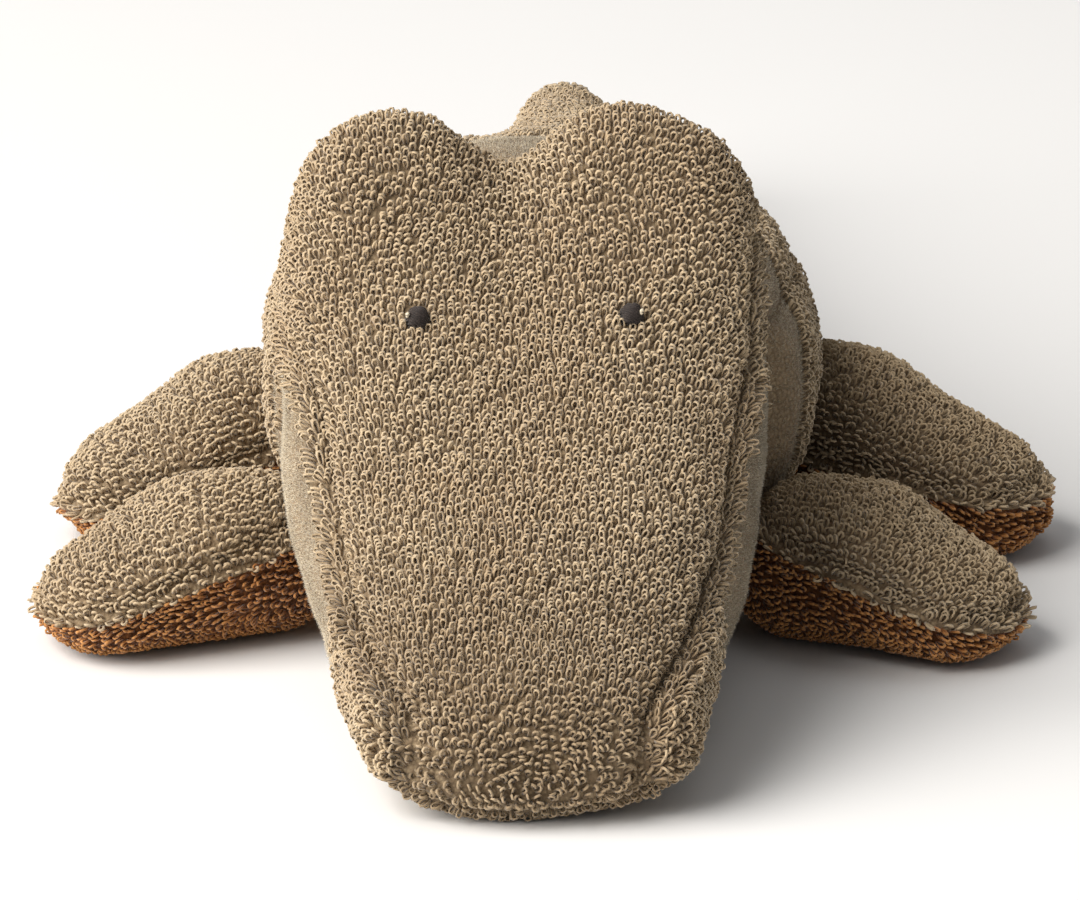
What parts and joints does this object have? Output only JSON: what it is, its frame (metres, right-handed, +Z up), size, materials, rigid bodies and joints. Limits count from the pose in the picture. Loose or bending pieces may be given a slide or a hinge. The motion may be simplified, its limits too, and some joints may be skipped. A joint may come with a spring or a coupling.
{
  "type": "plush crocodile",
  "caption": "Stuffed towelling crocodile lying on its belly, with a blunt wedge head, humped brow, four flat legs and a tapering tail, all soft-jointed.",
  "frame": {"origin": "on the floor under the middle of the overall box, under the belly", "axes": "+Y from the snout to the tail, +X to the animal's left, +Z up"},
  "size_m": [0.204, 0.4214, 0.1116],
  "materials": {
    "olive_towelling": "looped cotton towelling, matte, khaki olive",
    "rust_towelling": "looped cotton towelling, matte, rust brown",
    "fibre_filling": "soft polyester fibre filling, off-white",
    "eye_thread": "satin-stitched embroidery thread, brown-black"
  },
  "bodies": {
    "torso": {"back_panel": "olive_towelling", "torso_side_panel_left": "olive_towelling", "torso_side_panel_right": "olive_towelling", "belly_panel": "rust_towelling", "torso_stuffing": "fibre_filling"},
    "neck": {"neck_cover_upper": "olive_towelling", "neck_cover_under": "rust_towelling", "neck_stuffing": "fibre_filling"},
    "head": {"head_top_panel": "olive_towelling", "head_side_panel_left": "olive_towelling", "head_side_panel_right": "olive_towelling", "chin_panel": "rust_towelling", "head_stuffing": "fibre_filling", "eye_left": "eye_thread", "eye_right": "eye_thread"},
    "front_leg_left": {"front_leg_left_upper": "olive_towelling", "front_leg_left_sole": "rust_towelling", "front_leg_left_stuffing": "fibre_filling"},
    "rear_leg_left": {"rear_leg_left_upper": "olive_towelling", "rear_leg_left_sole": "rust_towelling", "rear_leg_left_stuffing": "fibre_filling"},
    "front_leg_right": {"front_leg_right_upper": "olive_towelling", "front_leg_right_sole": "rust_towelling", "front_leg_right_stuffing": "fibre_filling"},
    "rear_leg_right": {"rear_leg_right_upper": "olive_towelling", "rear_leg_right_sole": "rust_towelling", "rear_leg_right_stuffing": "fibre_filling"},
    "tail_root": {"tail_root_upper": "olive_towelling", "tail_root_under": "rust_towelling", "tail_root_stuffing": "fibre_filling"},
    "tail_middle": {"tail_middle_upper": "olive_towelling", "tail_middle_under": "rust_towelling", "tail_middle_stuffing": "fibre_filling"},
    "tail_end": {"tail_end_upper": "olive_towelling", "tail_end_under": "rust_towelling", "tail_end_stuffing": "fibre_filling"}
  },
  "joints": [
    {"name": "head_turn", "type": "hinge", "parent": "torso", "child": "neck", "pos_m": [-0.002, -0.10575, 0.044], "axis": [0, 0, 1], "range_deg": [-15, 15], "stiffness_Nm_per_rad": 0.15},
    {"name": "head_nod", "type": "hinge", "parent": "neck", "child": "head", "pos_m": [-0.002, -0.10575, 0.044], "axis": [1, 0, 0], "range_deg": [-8, 12], "stiffness_Nm_per_rad": 0.15},
    {"name": "front_leg_left_flap", "type": "hinge", "parent": "torso", "child": "front_leg_left", "pos_m": [0.06, -0.096, 0.017], "axis": [0, -1, 0], "range_deg": [-15, 40], "stiffness_Nm_per_rad": 0.02},
    {"name": "rear_leg_left_flap", "type": "hinge", "parent": "torso", "child": "rear_leg_left", "pos_m": [0.06, -0.032, 0.017], "axis": [0, -1, 0], "range_deg": [-15, 40], "stiffness_Nm_per_rad": 0.02},
    {"name": "front_leg_right_flap", "type": "hinge", "parent": "torso", "child": "front_leg_right", "pos_m": [-0.06, -0.096, 0.017], "axis": [0, 1, 0], "range_deg": [-15, 40], "stiffness_Nm_per_rad": 0.02},
    {"name": "rear_leg_right_flap", "type": "hinge", "parent": "torso", "child": "rear_leg_right", "pos_m": [-0.06, -0.032, 0.017], "axis": [0, 1, 0], "range_deg": [-15, 40], "stiffness_Nm_per_rad": 0.02},
    {"name": "tail_root_sway", "type": "hinge", "parent": "torso", "child": "tail_root", "pos_m": [0, 0.01425, 0.035], "axis": [0, 0, 1], "range_deg": [-18, 18], "stiffness_Nm_per_rad": 0.06},
    {"name": "tail_middle_sway", "type": "hinge", "parent": "tail_root", "child": "tail_middle", "pos_m": [0, 0.07975, 0.026], "axis": [0, 0, 1], "range_deg": [-18, 18], "stiffness_Nm_per_rad": 0.04},
    {"name": "tail_end_sway", "type": "hinge", "parent": "tail_middle", "child": "tail_end", "pos_m": [0, 0.14525, 0.021], "axis": [0, 0, 1], "range_deg": [-18, 18], "stiffness_Nm_per_rad": 0.02}
  ]
}
